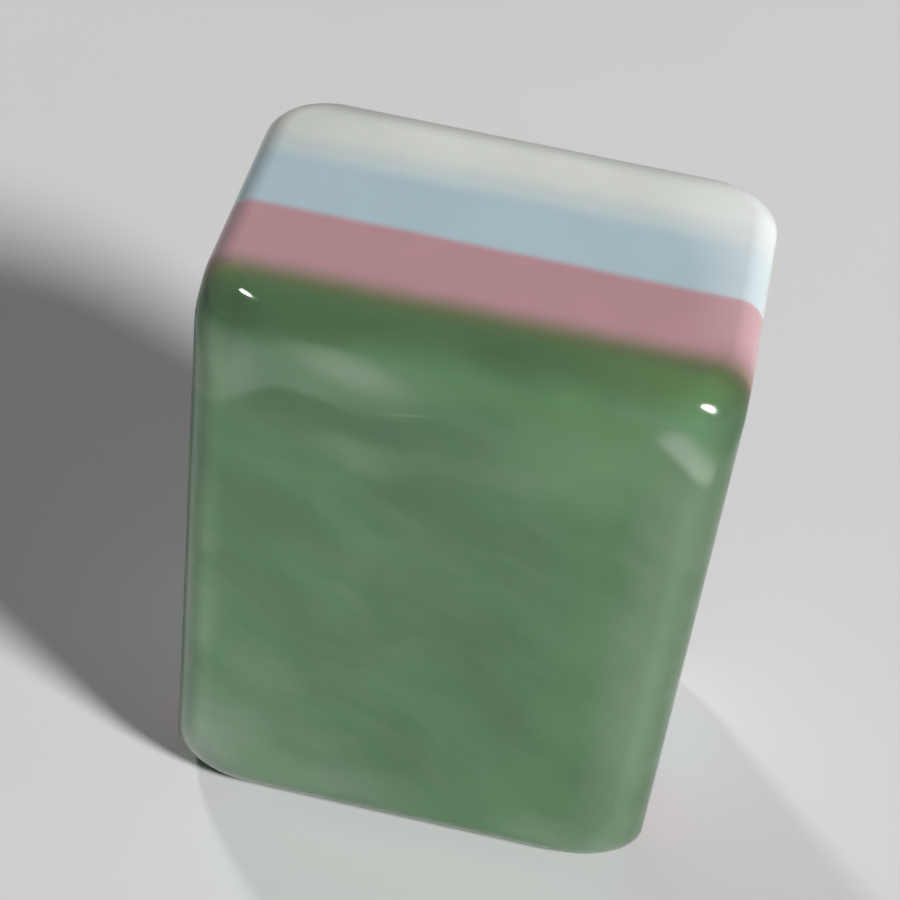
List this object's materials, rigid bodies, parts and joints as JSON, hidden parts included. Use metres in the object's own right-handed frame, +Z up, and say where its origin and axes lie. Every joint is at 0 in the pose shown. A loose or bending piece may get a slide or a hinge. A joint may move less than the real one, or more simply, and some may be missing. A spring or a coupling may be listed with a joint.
{
  "type": "mahjong tile",
  "caption": "Laminated mahjong tile: marbled green back, pink and blue bands, off-white face engraved and painted with rows of circles.",
  "frame": {"origin": "middle of the end face that the tile stands on", "axes": "+Z up the height of the figure, +Y out of the engraved face, +X across the tile to the left of whoever faces the figure"},
  "size_m": [0.0316, 0.022, 0.042],
  "materials": {
    "jade_green": "polished, marbled, translucent",
    "pink": "polished",
    "light_blue": "polished",
    "off_white": "polished, translucent",
    "green_paint": "enamel",
    "red_paint": "enamel",
    "blue_paint": "enamel"
  },
  "bodies": {
    "root": {"back_layer": "jade_green", "pink_layer": "pink", "blue_layer": "light_blue", "face_layer": "off_white", "paint_top_left_ring": "green_paint", "paint_top_left_petals": "green_paint", "paint_top_left_dot": "red_paint", "paint_top_centre_ring": "green_paint", "paint_top_centre_petals": "green_paint", "paint_top_centre_dot": "red_paint", "paint_top_right_ring": "green_paint", "paint_top_right_petals": "green_paint", "paint_top_right_dot": "red_paint", "paint_middle_left_ring": "red_paint", "paint_middle_left_petals": "red_paint", "paint_middle_left_dot": "green_paint", "paint_middle_centre_ring": "red_paint", "paint_middle_centre_petals": "red_paint", "paint_middle_centre_dot": "green_paint", "paint_middle_right_ring": "red_paint", "paint_middle_right_petals": "red_paint", "paint_middle_right_dot": "green_paint", "paint_bottom_left_ring": "blue_paint", "paint_bottom_left_petals": "blue_paint", "paint_bottom_left_dot": "red_paint", "paint_bottom_centre_ring": "blue_paint", "paint_bottom_centre_petals": "blue_paint", "paint_bottom_centre_dot": "red_paint", "paint_bottom_right_ring": "blue_paint", "paint_bottom_right_petals": "blue_paint", "paint_bottom_right_dot": "red_paint"}
  },
  "joints": []
}
